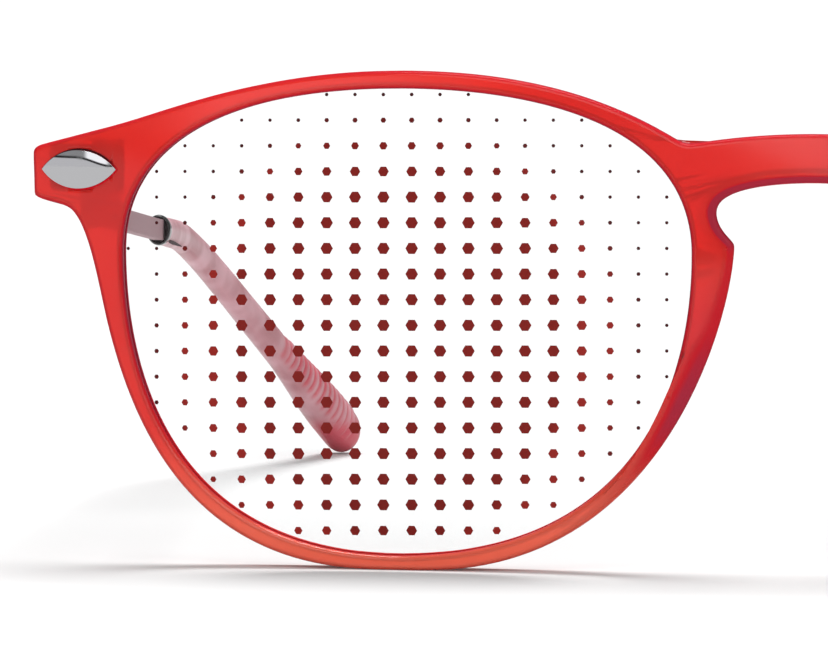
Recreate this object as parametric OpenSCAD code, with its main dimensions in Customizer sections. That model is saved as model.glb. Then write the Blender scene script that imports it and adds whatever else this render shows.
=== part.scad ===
// Reading glasses with a moulded plastic front.
//
// The front is one moulding: two pantoscopic eyes, a keyhole bridge, grooved
// rims, built-up nose sides and an end piece at each side. Each end piece wears
// a pointed oval metal plaque whose two posts run through the moulding and are
// riveted over the hinge plate behind it. A flat metal arm runs from each
// three-knuckle hinge to a dark ferrule, goes on as a thin core inside a soft
// sleeve, and bends down and in behind the ear. The sleeve ends in a ribbed grip.
//
// X runs across the face and +X is the wearer's left. +Y runs from the front to
// the ears. +Z is up. The glasses stand open on their rims and sleeve ends.
// Shapes are drawn for the left side and mirrored for the right.

/* [Eyes and lenses] */
// Width of each eye opening
eye_w = 49.0; // [45:0.5:53]
// Height of each eye opening
eye_h = 39.9; // [37:0.1:43]
// Distance between the two eye openings
bridge_w = 20.3; // [18:0.1:23]
// Highest point of the opening, measured from its nose side
eye_crown = 24.8; // [22:0.1:27]
// Lowest point of the opening, measured from its nose side
eye_base = 25.4; // [23:0.1:28]
// Height of the widest part above the opening's lower edge
eye_wide = 25.9; // [24:0.1:28]
// Depth of the lens's apex behind the front face
lens_inset = 0.35; // [0.2:0.05:0.6]
// Radius of the lens's front surface
lens_r = 160; // [150:5:200]
// Thickness of the lens's edge tongue
tongue_t = 1.0; // [0.8:0.1:1.2]
// Depth of the groove that holds the lens
groove_d = 0.5; // [0.3:0.05:0.6]
// Depth of the groove's middle behind the front face
groove_at = 1.6; // [1.5:0.05:1.8]
// Gap between a lens and its groove
lens_gap = 0.05; // [0.02:0.01:0.08]

/* [Front] */
// Rim width above the eye
rim_top = 1.5; // [1.4:0.1:2.5]
// Rim width below the eye
rim_foot = 1.2; // [1.1:0.1:2.0]
// Thickness of the moulding, front to back
front_t = 3.4; // [3.2:0.1:4.2]
// Radius of the curve that the whole front follows
face_r = 250; // [220:5:300]
// Radius of the rounded edges
edge_r = 0.4; // [0.25:0.05:0.45]
// Width of the flat land below each rim
foot_w = 4.0; // [3:0.5:5]
// Drop from the top of the front to the top of the bridge
bridge_drop = 5.3; // [4:0.1:6.5]
// Height of the bridge bar at the middle
bridge_h = 4.1; // [3.5:0.1:5]
// Dip of the notch where the bridge meets the brow
notch_dip = 0.8; // [0.5:0.1:1.2]
// Width of the keyhole
keyhole_w = 16.1; // [15:0.1:17]
// Keyhole's widest point below the bridge's underside
keyhole_at = 2.45; // [2.2:0.05:2.8]
// Smallest gap between the two nose sides
nose_gap = 13.1; // [12:0.1:14]
// Smallest gap's height below the bridge's underside
nose_at = 5.3; // [4.8:0.1:6]
// Extra thickness built up behind the nose sides
pad_t = 1.5; // [0.5:0.1:2.5]
// Bevel of the nose sides from front to back
pad_bevel = 0.8; // [0.4:0.1:1]
// Reach of the end piece outside the eye opening
end_reach = 8.0; // [7.5:0.1:9]
// Drop from the top of the front to the end piece's corner
end_drop = 6.4; // [6:0.1:7]
// Height of the end piece's outer face
end_h = 4.9; // [4.6:0.1:5.4]
// Slope of the brow line above the end piece, in degrees
brow_slope = 14.6; // [12:0.1:16]
// How far the rim's outer edge stands outside the opening beside the cheek
cheek_out = 1.4; // [1.3:0.1:2]

/* [Plaques] */
// Length of the pointed oval
plaque_l = 6.8; // [6:0.1:7.2]
// Height of the pointed oval
plaque_h = 3.3; // [2.8:0.1:3.6]
// Height that stands in front of the moulding
plaque_up = 0.55; // [0.4:0.05:0.8]
// Depth of its seat in the moulding
plaque_seat = 0.35; // [0.2:0.05:0.5]
// Distance from the end of the front to the plaque's middle
plaque_in = 4.15; // [4:0.05:4.4]
// Radius of each post
post_r = 0.45; // [0.35:0.05:0.5]
// Distance between the two posts
post_pitch = 4.4; // [4:0.1:4.6]
// Gap around posts, rivets, plates and plaques
seat_gap = 0.03; // [0.02:0.01:0.05]

/* [Hinges] */
// Length of the hinge plate
plate_l = 6.6; // [6:0.1:6.8]
// Height of the hinge plate
plate_h = 4.0; // [3.6:0.1:4.2]
// Thickness of the hinge plate
plate_t = 0.9; // [0.7:0.1:1.1]
// Depth of the plate's pocket in the back of the moulding
pocket_d = 0.5; // [0.3:0.1:0.6]
// Radius of the knuckles
knuckle_r = 1.25; // [1.15:0.05:1.4]
// Height of the temple's knuckle
knuckle_mid = 2.0; // [1.6:0.1:2.2]
// Height of each front knuckle
knuckle_end = 1.3; // [1.1:0.1:1.5]
// Gap between stacked knuckles
knuckle_gap = 0.1; // [0.05:0.05:0.15]
// Radius of the hinge screw
screw_r = 0.6; // [0.5:0.05:0.65]
// Running clearance round the screw in the temple's knuckle
run_gap = 0.05; // [0.03:0.01:0.08]
// Radius of the screw's head
screw_head_r = 0.95; // [0.85:0.05:1.0]
// Height of the screw's head
screw_head_h = 0.45; // [0.35:0.05:0.6]

/* [Arms] */
// Thickness of the flat arm
arm_t = 1.0; // [0.8:0.1:1.2]
// Height of the flat arm
arm_h = 1.95; // [1.6:0.05:2.1]
// Distance from the end of the front to the arm's middle
arm_in = 4.7; // [4.5:0.1:5]
// Height of the arm's head at the hinge
head_h = 7.6; // [7:0.1:8]
// Gap between the arm's head and the hinge plate when open
butt_gap = 0.3; // [0.2:0.05:0.4]
// Distance from the front of the glasses back to the ferrule
ferrule_at = 70.6; // [60:0.1:76]
// Downward slope of the arm, in degrees
arm_slope = 3.8; // [3:0.1:4.5]
// Height of the arm's middle where it enters the ferrule
ferrule_z = 26.4; // [25:0.1:27]
// Thickness of the strap that joins the knuckle to the arm
strap_t = 0.8; // [0.6:0.1:0.9]
// Length of the strap behind the knuckle
strap_l = 7.2; // [6.8:0.1:8]
// Height of the strap
strap_h = 2.8; // [2.4:0.1:3.2]
// Radius of each arm rivet
rivet_r = 0.42; // [0.35:0.01:0.5]
// Distance between the two arm rivets
rivet_pitch = 2.6; // [2.2:0.1:2.8]

/* [Sleeves] */
// Length of the ferrule
ferrule_l = 1.8; // [1.4:0.1:2.4]
// Height of the ferrule
ferrule_h = 3.0; // [2.9:0.05:3.3]
// Width of the ferrule
ferrule_w = 2.4; // [2.3:0.05:2.7]
// Distance from the front of the glasses back to the bend
bend_at = 98.0; // [94:0.5:104]
// Length of the curve on each side of the bend
bend_l = 10; // [7:0.5:12]
// Drop of the bent end, in degrees
tip_drop = 27.3; // [24:0.1:32]
// Inward turn of the bent end, in degrees
tip_in = 17.2; // [10:0.1:20]
// Height of the sleeve beside the ferrule
sleeve_h = 2.8; // [2.6:0.05:2.9]
// Width of the sleeve beside the ferrule
sleeve_w = 2.35; // [2.2:0.05:2.4]
// Height of the sleeve's rounded end
tip_h = 5.0; // [4.2:0.1:5.4]
// Width of the sleeve's rounded end
tip_w = 4.1; // [3.4:0.1:4.4]
// Height of the metal core inside the sleeve
core_h = 1.3; // [1:0.05:1.4]
// Width of the metal core inside the sleeve
core_w = 0.9; // [0.8:0.05:1]
// Solid length of sleeve past the end of the core
core_stop = 5; // [3:0.5:8]
// Gap between the core and the sleeve
core_gap = 0.05; // [0.03:0.01:0.08]
// Number of grip ribs
ribs = 15; // [10:1:16]
// Distance between grip ribs
rib_pitch = 1.25; // [1.1:0.05:1.3]
// Height of the grip ribs
rib_h = 0.2; // [0.08:0.01:0.2]

/* [Hidden] */
small_fn = 48;

// ---- Outlines, as [x, z] points seen from in front of the left half ----

// Nose side, ear side, lower edge and upper edge of the eye opening
nose_x = bridge_w / 2;
ear_x = nose_x + eye_w;
low_z = rim_foot;
high_z = low_z + eye_h;
front_h = high_z + rim_top;
mid_z = front_h / 2;
crown_x = nose_x + eye_crown;
base_x = nose_x + eye_base;
wide_z = low_z + eye_wide;
end_x = ear_x + end_reach;
bridge_top = front_h - bridge_drop;
bridge_low = bridge_top - bridge_h;

function mix(a, b, t) = a + (b - a) * t;
function bez(p, t) = pow(1 - t, 3) * p[0] + 3 * t * pow(1 - t, 2) * p[1]
  + 3 * t * t * (1 - t) * p[2] + pow(t, 3) * p[3];

// The eye opening is four quarter curves with level and upright handles. Each
// pair of numbers is how full the curve is at its start and at its end.
eye_full = [[0.80, 0.46], [0.56, 0.72], [0.45, 0.80], [0.80, 0.44]];
eye_knots = [[nose_x, wide_z], [crown_x, high_z], [ear_x, wide_z], [base_x, low_z]];
function quarter(q) =
  let (a = eye_knots[q % 4], b = eye_knots[(q + 1) % 4], f = eye_full[q % 4])
  q % 2 == 0
    ? [a, [a[0], mix(a[1], b[1], f[0])], [mix(b[0], a[0], f[1]), b[1]], b]
    : [a, [mix(a[0], b[0], f[0]), a[1]], [b[0], mix(b[1], a[1], f[1])], b];
// Point of the eye opening at u, where each whole number is one quarter
function eye_pt(u) = let (v = u - 4 * floor(u / 4), q = floor(v)) bez(quarter(q), v - q);

// The outer outline of one half, as curves [start, handle, handle, end], with
// the number of steps along each and the eye's u at its start
brow_t = tan(brow_slope);
notch = [nose_x, bridge_top - notch_dip];
brow_in = notch + [2.15, 0.8];
end_top_z = front_h - end_drop;
end_low_z = end_top_z - end_h;
brow_out = [end_x - 7.1, end_top_z + 6.2 * brow_t];
cheek = [ear_x + cheek_out, wide_z - 6.2];
under_end = [end_x - 2.7, end_low_z - 0.35];
foot_out = [base_x - 0.35 + foot_w / 2, 0];
foot_in = [base_x - 0.35 - foot_w / 2, 0];
pad = [nose_gap / 2, bridge_low - nose_at];
key = [keyhole_w / 2, bridge_low - keyhole_at];
outline = [
  [[[0, bridge_top], [5.7, bridge_top], [notch[0] - 0.5, notch[1]], notch], 7, 4.30],
  [[notch, notch + [0.85, 0], brow_in - [1.25, 0.72], brow_in], 3, 4.44],
  [[brow_in, brow_in + [6.6, 3.8], [crown_x - 8.6, front_h], [crown_x, front_h]], 12, 4.50],
  [[[crown_x, front_h], [crown_x + 12.3, front_h], brow_out + [-4.8, 4.8 * brow_t], brow_out],
    10, 5.00],
  [[brow_out, brow_out + [2, -2 * brow_t], brow_out + [4, -4 * brow_t],
    [end_x - 0.9, end_top_z]], 3, 5.66],
  [[[end_x - 0.9, end_top_z], [end_x - 0.3, end_top_z - 0.15], [end_x, end_top_z - 0.4],
    [end_x, end_top_z - 0.8]], 3, 5.80],
  [[[end_x, end_top_z - 0.8], [end_x, end_top_z - 2], [end_x - 0.1, end_low_z + 2],
    [end_x - 0.1, end_low_z + 0.7]], 2, 5.83],
  [[[end_x - 0.1, end_low_z + 0.7], [end_x - 0.1, end_low_z + 0.35],
    [end_x - 0.4, end_low_z + 0.2], under_end], 4, 5.86],
  [[under_end, under_end - [2.1, 0.4], cheek + [0.9, 3.7], cheek], 8, 5.91],
  [[cheek, cheek - [2.3, 9.2], foot_out + [16, 0], foot_out], 14, 6.22],
  [[foot_out, mix(foot_out, foot_in, 0.33), mix(foot_out, foot_in, 0.67), foot_in], 2, 6.94],
  [[foot_in, foot_in - [21.5, 0], pad - [0, 4.8], pad], 18, 7.08],
  [[pad, pad + [0, 0.5], key - [0, 1.6], key], 5, 8.02],
  [[key, key + [0, 2.25], [2.0, bridge_low], [0, bridge_low]], 8, 8.09],
  [[[0, bridge_low], [0, bridge_low + 1.2], [0, bridge_top - 1.2], [0, bridge_top]], 3, 8.20]
];
outer = [for (s = outline) for (i = [0 : s[1] - 1]) bez(s[0], i / s[1])];
inner = [for (k = [0 : len(outline) - 1]) let (s = outline[k],
  ue = k == len(outline) - 1 ? outline[0][2] + 4 : outline[k + 1][2])
  for (i = [0 : s[1] - 1]) eye_pt(mix(s[2], ue, i / s[1]))];
cols = len(outer);
// The last three columns lie on the middle plane, where the two halves meet
mid_from = cols - 3;

// A closed list of points moved sideways by d, to the left of its direction
function turned(v) = [-v[1], v[0]] / norm(v);
function moved(pts, d) = let (n = len(pts)) [for (i = [0 : n - 1])
  pts[i] + d * turned(pts[(i + 1) % n] - pts[(i + n - 1) % n])];
eye_ring = inner;
function eye_out(d) = moved(eye_ring, d);
// The outer outline moved into the moulding by d. On the middle plane the
// normal is upright, so the halves still meet there.
function outer_step(i) =
  i == 0 ? [1, 0] : i == mid_from ? [-1, 0] :
  i > mid_from ? [0, 1] : outer[(i + 1) % cols] - outer[i - 1];
function outer_in(i, d) = i > mid_from ? outer[i] : outer[i] - d * turned(outer_step(i));

// ---- The face curve: a ball of face_r, and shells inside it at a depth ----

function face_y(x, z, depth) =
  face_r - sqrt(pow(face_r - depth, 2) - x * x - pow(z - mid_z, 2));
function on_face(p, depth) = [p[0], face_y(p[0], p[1], depth), p[1]];

// Swell of the nose sides, 0 to 1, over their height
pad_mid = bridge_low - 12;
pad_span = 11;
function swell(p) = p[0] > 22 || abs(p[1] - pad_mid) >= pad_span
  ? 0 : pow(1 - pow((p[1] - pad_mid) / pad_span, 2), 2) * min(1, (22 - p[0]) / 8);
function bevel(p) = p[0] > 22 || p[1] > bridge_low + 0.01 ? 0
  : pad_bevel * min(1, (22 - p[0]) / 8);

groove_0 = groove_at - tongue_t / 2 - lens_gap;
groove_1 = groove_at + tongue_t / 2 + lens_gap;
soft = edge_r * (1 - cos(45));

// The sixteen points round the moulding's section at column i
function section(i, rim) =
  let (p = outer[i], b = bevel(p), t = front_t + pad_t * swell(p))
  [ on_face(rim[0][i], edge_r), on_face(rim[1][i], soft), on_face(rim[2][i], 0),
    on_face(outer_in(i, edge_r), 0), on_face(outer_in(i, soft), soft),
    on_face(outer_in(i, 0), edge_r), on_face(outer_in(i, b), t - edge_r),
    on_face(outer_in(i, b + soft), t - soft), on_face(outer_in(i, b + edge_r), t),
    on_face(rim[2][i], front_t), on_face(rim[1][i], front_t - soft),
    on_face(rim[0][i], front_t - edge_r), on_face(rim[0][i], groove_1),
    on_face(rim[3][i], groove_1), on_face(rim[3][i], groove_0), on_face(rim[0][i], groove_0) ];
rings = 16;

module moulding() {
  rim = [eye_out(0), eye_out(soft), eye_out(edge_r), eye_out(groove_d)];
  half = [for (i = [0 : cols - 1]) section(i, rim)];
  pts = [for (m = [1, -1]) for (c = half) for (p = c) [m * p[0], p[1], p[2]]];
  at_mid = function (i, k) (i == 0 || i >= mid_from) && k >= 3 && k <= 8;
  id = function (m, i, k) (at_mid(i, k) ? 0 : m) * cols * rings + i * rings + k;
  faces = [for (m = [0, 1]) for (i = [0 : cols - 1]) for (k = [0 : rings - 1])
    let (j = (i + 1) % cols, l = (k + 1) % rings,
      a = id(m, i, k), b = id(m, j, k), c = id(m, j, l), d = id(m, i, l))
    if (!(i >= mid_from && k >= 3 && k < 8))
      for (f = m == 1 ? [[a, b, c], [a, c, d]] : [[a, c, b], [a, d, c]]) f];
  polyhedron(pts, faces, convexity = 12);
}

// ---- Places on the end piece: x along it, y into it, z up ----

plaque_x = end_x - plaque_in;
hinge_z = end_top_z - end_h / 2 + 0.3;
end_turn = asin(plaque_x / face_r);
module on_end() {
  translate([plaque_x, face_y(plaque_x, hinge_z, 0), hinge_z])
    rotate([0, 0, end_turn]) children();
}
// Extrudes a flat [x, z] shape from depth a to depth b
module slab(a, b) {
  translate([0, b, 0]) rotate([90, 0, 0]) linear_extrude(height = b - a) children();
}
module rounded(w, h, r) {
  square([w - 2 * r, h], center = true);
  square([w, h - 2 * r], center = true);
  for (x = [-1, 1], y = [-1, 1])
    translate([x * (w / 2 - r), y * (h / 2 - r)]) circle(r = r, $fn = small_fn);
}
module pointed_oval(l, h) {
  r = (l * l / 4 + h * h / 4) / h;
  intersection() {
    translate([0, h / 2 - r]) circle(r = r, $fn = 96);
    translate([0, r - h / 2]) circle(r = r, $fn = 96);
  }
}
// A round bar along y from a to b
module bar_y(r, a, b) {
  translate([0, a, 0]) rotate([-90, 0, 0]) cylinder(r = r, h = b - a, $fn = small_fn);
}
plate_back = front_t - pocket_d + plate_t;
plate_shift = 0.1;
plate_corner = 0.6;

module end_cuts() {
  on_end() {
    slab(-2, plaque_seat) pointed_oval(plaque_l + 2 * seat_gap, plaque_h + 2 * seat_gap);
    for (s = [-1, 1]) translate([s * post_pitch / 2, 0, 0])
      bar_y(post_r + seat_gap, -1, front_t + 2);
    translate([plate_shift, 0, 0]) slab(front_t - pocket_d, front_t + 3)
      rounded(plate_l + 2 * seat_gap, plate_h + 2 * seat_gap, plate_corner + seat_gap);
  }
}

module front_frame() {
  color([0.88, 0.22, 0.19]) difference() {
    moulding();
    for (m = [0, 1]) mirror([m, 0, 0]) end_cuts();
  }
}

// ---- Lens: a meniscus whose back lies on the face curve ----

lens_mid = [nose_x + eye_w / 2, low_z + eye_h / 2];
lens_back = groove_at + tongue_t / 2;
lens_lip = groove_at - tongue_t / 2;
module shell_ball(depth) {
  translate([0, face_r, mid_z]) sphere(r = face_r - depth, $fn = 360);
}
module eye_prism(d) {
  slab(-4, 20) polygon(eye_out(d));
}
module lens() {
  toward = (on_face(lens_mid, 0) - [0, face_r, mid_z]) / face_r;
  color([0.93, 0.96, 0.97, 0.35]) difference() {
    union() {
      intersection() {
        eye_prism(-lens_gap);
        translate([0, face_r, mid_z] + toward * (face_r - lens_inset - lens_r))
          sphere(r = lens_r, $fn = 360);
      }
      intersection() {
        eye_prism(groove_d - lens_gap);
        shell_ball(lens_lip);
      }
    }
    shell_ball(lens_back);
  }
}

// ---- Plaque with its two posts ----

module plaque() {
  dome = 16;
  head = 0.25;
  color([0.75, 0.76, 0.78]) on_end() union() {
    intersection() {
      slab(-plaque_up, plaque_seat) pointed_oval(plaque_l, plaque_h);
      translate([0, dome - plaque_up, 0]) sphere(r = dome, $fn = 180);
    }
    for (s = [-1, 1]) translate([s * post_pitch / 2, 0, 0]) {
      bar_y(post_r, plaque_seat - 0.1, plate_back + head);
      bar_y(post_r + 0.15, plate_back, plate_back + head);
    }
  }
}

// ---- Hinge ----

arm_x = end_x - arm_in;
arm_face = arm_x - arm_t / 2;
barrel_gap = 0.15;
axis_x = arm_face - barrel_gap - knuckle_r;
// Distance back to the hinge plate's rear face at a given x
function plate_y(x) =
  face_y(plaque_x, hinge_z, 0) + (x - plaque_x) * tan(end_turn) + plate_back / cos(end_turn);
butt_y = plate_y(arm_x + arm_t / 2) + butt_gap;
axis_y = butt_y + 1.65;
stack_h = 2 * knuckle_end + knuckle_mid + 2 * knuckle_gap;
stack_0 = hinge_z - stack_h / 2;
mid_0 = stack_0 + knuckle_end + knuckle_gap;
top_0 = mid_0 + knuckle_mid + knuckle_gap;
module at_axis(z) {
  translate([axis_x, axis_y, z]) children();
}
module tube(r, z0, h) {
  at_axis(z0) cylinder(r = r, h = h, $fn = small_fn);
}

module front_hinge() {
  web = 1.4;
  web_h = hinge_z + plate_h / 2 - top_0;
  color([0.62, 0.6, 0.6]) difference() {
    union() {
      on_end() translate([plate_shift, 0, 0])
        slab(front_t - pocket_d, plate_back) rounded(plate_l, plate_h, plate_corner);
      for (z = [stack_0, top_0]) tube(knuckle_r, z, knuckle_end);
      for (z = [hinge_z - plate_h / 2, top_0])
        translate([axis_x - web / 2, plate_y(axis_x) - 0.2, z])
          cube([web, axis_y - plate_y(axis_x) + 0.2, web_h]);
    }
    on_end() for (s = [-1, 1]) translate([s * post_pitch / 2, 0, 0])
      bar_y(post_r + seat_gap, 0, plate_back + 1);
    tube(screw_r + seat_gap, stack_0 - 1, stack_h + 2);
    tube(screw_head_r + seat_gap, stack_0 + stack_h - screw_head_h, 1);
  }
}

module hinge_screw() {
  slot_w = 0.25;
  slot_d = 0.2;
  top = stack_0 + stack_h;
  color([0.8, 0.8, 0.82]) difference() {
    union() {
      tube(screw_r, stack_0, stack_h - 0.1);
      tube(screw_head_r, top - screw_head_h, screw_head_h);
    }
    at_axis(top - slot_d) translate([-2, -slot_w / 2, 0]) cube([4, slot_w, 1]);
  }
}

strap_0 = axis_y + knuckle_r + 0.35;
strap_1 = axis_y + strap_l;
rivet_y = [strap_1 - 1.25 - rivet_pitch, strap_1 - 1.25];
// A round bar along x from a to b
module bar_x(r, y, a, b) {
  translate([a, y, hinge_z]) rotate([0, 90, 0]) cylinder(r = r, h = b - a, $fn = small_fn);
}

module temple_hinge() {
  color([0.62, 0.6, 0.6]) difference() {
    union() {
      tube(knuckle_r, mid_0, knuckle_mid);
      translate([arm_face - strap_t, axis_y, mid_0]) cube([strap_t, 3, knuckle_mid]);
      translate([arm_face - strap_t, strap_0, hinge_z - strap_h / 2])
        cube([strap_t, strap_1 - strap_h / 2 - strap_0, strap_h]);
      bar_x(strap_h / 2, strap_1 - strap_h / 2, arm_face - strap_t, arm_face);
    }
    tube(screw_r + run_gap, mid_0 - 1, knuckle_mid + 2);
    for (y = rivet_y) bar_x(rivet_r + seat_gap, y, arm_face - 3, arm_face + 1);
  }
}

module arm_rivet(y) {
  head = 0.25;
  color([0.7, 0.69, 0.69]) union() {
    bar_x(rivet_r, y, arm_face - strap_t - head, arm_face + arm_t + head);
    bar_x(rivet_r + 0.25, y, arm_face - strap_t - head, arm_face - strap_t);
    bar_x(rivet_r + 0.3, y, arm_face + arm_t, arm_face + arm_t + head);
  }
}

// ---- Arm, ferrule and sleeve along one centre line ----

slope_t = tan(arm_slope);
function arm_z(y) = ferrule_z + (ferrule_at - y) * slope_t;
run_dir = [0, cos(arm_slope), -sin(arm_slope)];
tip_dir = [-sin(tip_in) * cos(tip_drop), cos(tip_in) * cos(tip_drop), -sin(tip_drop)];
bend = [arm_x, bend_at, arm_z(bend_at)];
bend_a = bend - bend_l * run_dir;
bend_b = bend + bend_l * tip_dir;
bend_c = [bend_a, bend_a + run_dir * bend_l * 0.6, bend_b - tip_dir * bend_l * 0.6, bend_b];
sleeve_y = ferrule_at + ferrule_l;
sleeve_a = [arm_x, sleeve_y, arm_z(sleeve_y)];
run_l = norm(bend_a - sleeve_a);
// The curve's own length, near enough to space the sections evenly
curve_l = norm(bend_b - bend_a) * 1.03;
// The rounded end rests on the surface that the rims stand on
cap_l = tip_w / 2;
function reach_down(d, h, w, l) =
  let (s = cross(d, [0, 0, 1]) / norm(cross(d, [0, 0, 1])), u = cross(s, d))
  norm([h / 2 * u[2], w / 2 * s[2], l * d[2]]);
end_z = reach_down(tip_dir, tip_h, tip_w, cap_l);
tip_l = (bend_b[2] - end_z) / sin(tip_drop);
full_l = run_l + curve_l + tip_l;
function curve_dir(t) = let (d = bez(bend_c, min(1, t + 0.01)) - bez(bend_c, max(0, t - 0.01)))
  d / norm(d);
// Centre line point and direction at length s behind the ferrule
function line_at(s) =
  s < run_l ? [sleeve_a + s * run_dir, run_dir]
  : s < run_l + curve_l
    ? let (t = (s - run_l) / curve_l) [bez(bend_c, t), curve_dir(t)]
    : [bend_b + (s - run_l - curve_l) * tip_dir, tip_dir];
sides = 16;
core_sides = 12;
// An oval ring of n points round the centre line, with grip ribs raised by rib
// on the side that faces the head and the top
function oval(at, h, w, n, rib = 0) =
  let (d = at[1], s = cross(d, [0, 0, 1]) / norm(cross(d, [0, 0, 1])), u = cross(s, d))
  [for (k = [0 : n - 1]) let (a = 360 * k / n,
    grip = rib * max(0, min(1, 1.6 * cos(a - 145))))
    at[0] + s * cos(a) * (w / 2 + grip) + u * sin(a) * (h / 2 + grip)];
// A closed skin over rings of n points, with a centre point at each end
module skin(rows, first, last, n) {
  m = len(rows);
  pts = concat([first], [for (r = rows) for (p = r) p], [last]);
  polyhedron(pts, concat(
    [for (k = [0 : n - 1]) [0, 1 + (k + 1) % n, 1 + k]],
    [for (i = [0 : m - 2]) for (k = [0 : n - 1])
      let (a = 1 + i * n + k, b = 1 + i * n + (k + 1) % n)
      for (f = [[a, b + n, a + n], [a, b, b + n]]) f],
    [for (k = [0 : n - 1]) [1 + m * n, 1 + (m - 1) * n + k, 1 + (m - 1) * n + (k + 1) % n]]
  ), convexity = 8);
}

// Sleeve size along its length: it thickens slowly, then fast into the grip
swell_at = full_l - 22;
function sleeve_k(s) = let (a = min(1, max(0, s / swell_at)),
  b = min(1, max(0, (s - swell_at) / 17))) [0.28 * a, b * b * (3 - 2 * b)];
function sleeve_hs(s) = let (k = sleeve_k(s)) mix(mix(sleeve_h, tip_h, k[0]), tip_h, k[1]);
function sleeve_ws(s) = let (k = sleeve_k(s)) mix(mix(sleeve_w, tip_w, k[0]), tip_w, k[1]);
rib_0 = full_l - 1.5 - ribs * rib_pitch;
core_l = full_l - core_stop;

module sleeve() {
  steps = concat(
    [for (i = [0 : 2]) run_l * i / 3],
    [for (i = [0 : 7]) run_l + curve_l * i / 8],
    [for (i = [0 : 3]) mix(run_l + curve_l, rib_0, i / 4)]);
  bore = [for (s = [core_l, mix(run_l + curve_l, core_l, 0.5),
    for (i = [8 : -1 : 0]) run_l + curve_l * i / 8, 0])
    oval(line_at(s), core_h + 2 * core_gap, core_w + 2 * core_gap, sides)];
  plain = [for (s = steps) oval(line_at(s), sleeve_hs(s), sleeve_ws(s), sides)];
  grip = [for (i = [0 : 2 * ribs]) let (s = rib_0 + rib_pitch * i / 2)
    oval(line_at(s), sleeve_hs(s), sleeve_ws(s), sides, rib_h * (i % 2))];
  cap = [for (a = [0, 30, 55, 75]) let (s = full_l + cap_l * sin(a))
    oval(line_at(s), tip_h * cos(a), tip_w * cos(a), sides)];
  color([0.8, 0.58, 0.62]) skin(concat(bore, plain, grip, cap),
    line_at(core_l)[0], line_at(full_l + cap_l)[0], sides);
}

module ferrule() {
  // Half sizes of the section: bore, rounded front lip, waist and flared rear lip
  at = function (y) [[arm_x, ferrule_at + y, arm_z(ferrule_at + y)], run_dir];
  hole_h = arm_h + 0.5;
  hole_w = arm_t + 0.72;
  row = function (y, k) oval(at(y), mix(hole_h, ferrule_h, k), mix(hole_w, ferrule_w, k), 24);
  rows = [row(0, 0), row(0, 0.5), row(0.2, 0.9), row(0.5, 1), row(ferrule_l * 0.55, 0.8),
    row(ferrule_l - 0.4, 1), row(ferrule_l - 0.1, 0.9), row(ferrule_l, 0.6),
    row(ferrule_l, 0)];
  m = len(rows);
  color([0.16, 0.15, 0.16]) polyhedron([for (r = rows) for (p = r) p],
    [for (i = [0 : m - 1]) for (k = [0 : 23])
      let (a = i * 24 + k, b = i * 24 + (k + 1) % 24, c = ((i + 1) % m) * 24)
      for (f = [[a, c + (k + 1) % 24, c + k], [a, b, c + (k + 1) % 24]]) f],
    convexity = 8);
}

head_top = hinge_z + 2.3;
head_low = head_top - head_h;
neck_y = butt_y + 9.5;
neck_end = butt_y + 28;
bar_end = sleeve_y - 0.3;
// Side view of the arm as [y, z] points: a tall head that narrows to the bar
side_view = concat(
  [[butt_y, head_low + 0.4], [butt_y + 0.4, head_low]],
  [for (i = [0 : 11]) bez([[butt_y + 3, head_low], [butt_y + 12, head_low],
    [neck_end - 9, arm_z(neck_end - 9) - arm_h / 2],
    [neck_end, arm_z(neck_end) - arm_h / 2]], i / 12)],
  [[neck_end, arm_z(neck_end) - arm_h / 2], [bar_end, arm_z(bar_end) - arm_h / 2],
   [bar_end, arm_z(bar_end) + arm_h / 2], [neck_end, arm_z(neck_end) + arm_h / 2]],
  [for (i = [1 : 16]) bez([[neck_end, arm_z(neck_end) + arm_h / 2],
    [neck_end - 8.5, arm_z(neck_end - 8.5) + arm_h / 2],
    [neck_y + 6, head_top], [neck_y, head_top]], i / 16)],
  [[butt_y + 0.6, head_top], [butt_y, head_top - 0.6]]);

module temple_arm() {
  path = concat([-3, -1.5, run_l],
    [for (i = [1 : 8]) run_l + curve_l * i / 8], [core_l - 0.3]);
  core = [for (s = path) oval(line_at(s), core_h, core_w, core_sides)];
  color([0.64, 0.56, 0.57]) union() {
    difference() {
      translate([arm_face, 0, 0]) rotate([90, 0, 90])
        linear_extrude(height = arm_t) polygon(side_view);
      for (y = rivet_y) bar_x(rivet_r + seat_gap, y, arm_face - 1, arm_face + arm_t + 1);
    }
    skin(core, line_at(-3)[0], line_at(core_l - 0.3)[0], core_sides);
  }
}

// ---- Placing: the middle of the overall depth is at y = 0 ----

cap_y = norm([cap_l * tip_dir[1], tip_w / 2 * sin(tip_in), tip_h / 2 * sin(tip_drop) * cos(tip_in)]);
back_y = line_at(full_l)[0][1] + cap_y;
front_y = min([for (i = [0 : cols - 1]) let (p = outer_in(i, edge_r)) face_y(p[0], p[1], 0)]);
to_mid = [0, -(front_y + back_y) / 2, 0];
module left() {
  translate(to_mid) children();
}
module right() {
  translate(to_mid) mirror([1, 0, 0]) children();
}

left() front_frame();
right() lens();  // right_lens
left() lens();  // left_lens
right() plaque();  // right_plaque
left() plaque();  // left_plaque
right() front_hinge();  // right_front_hinge
left() front_hinge();  // left_front_hinge
right() hinge_screw();  // right_hinge_screw
left() hinge_screw();  // left_hinge_screw
right() temple_hinge();  // right_temple_hinge
left() temple_hinge();  // left_temple_hinge
right() temple_arm();  // right_temple_arm
left() temple_arm();  // left_temple_arm
right() arm_rivet(rivet_y[0]);  // right_fore_rivet
left() arm_rivet(rivet_y[0]);  // left_fore_rivet
right() arm_rivet(rivet_y[1]);  // right_rear_rivet
left() arm_rivet(rivet_y[1]);  // left_rear_rivet
right() ferrule();  // right_ferrule
left() ferrule();  // left_ferrule
right() sleeve();  // right_sleeve
left() sleeve();  // left_sleeve
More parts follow.
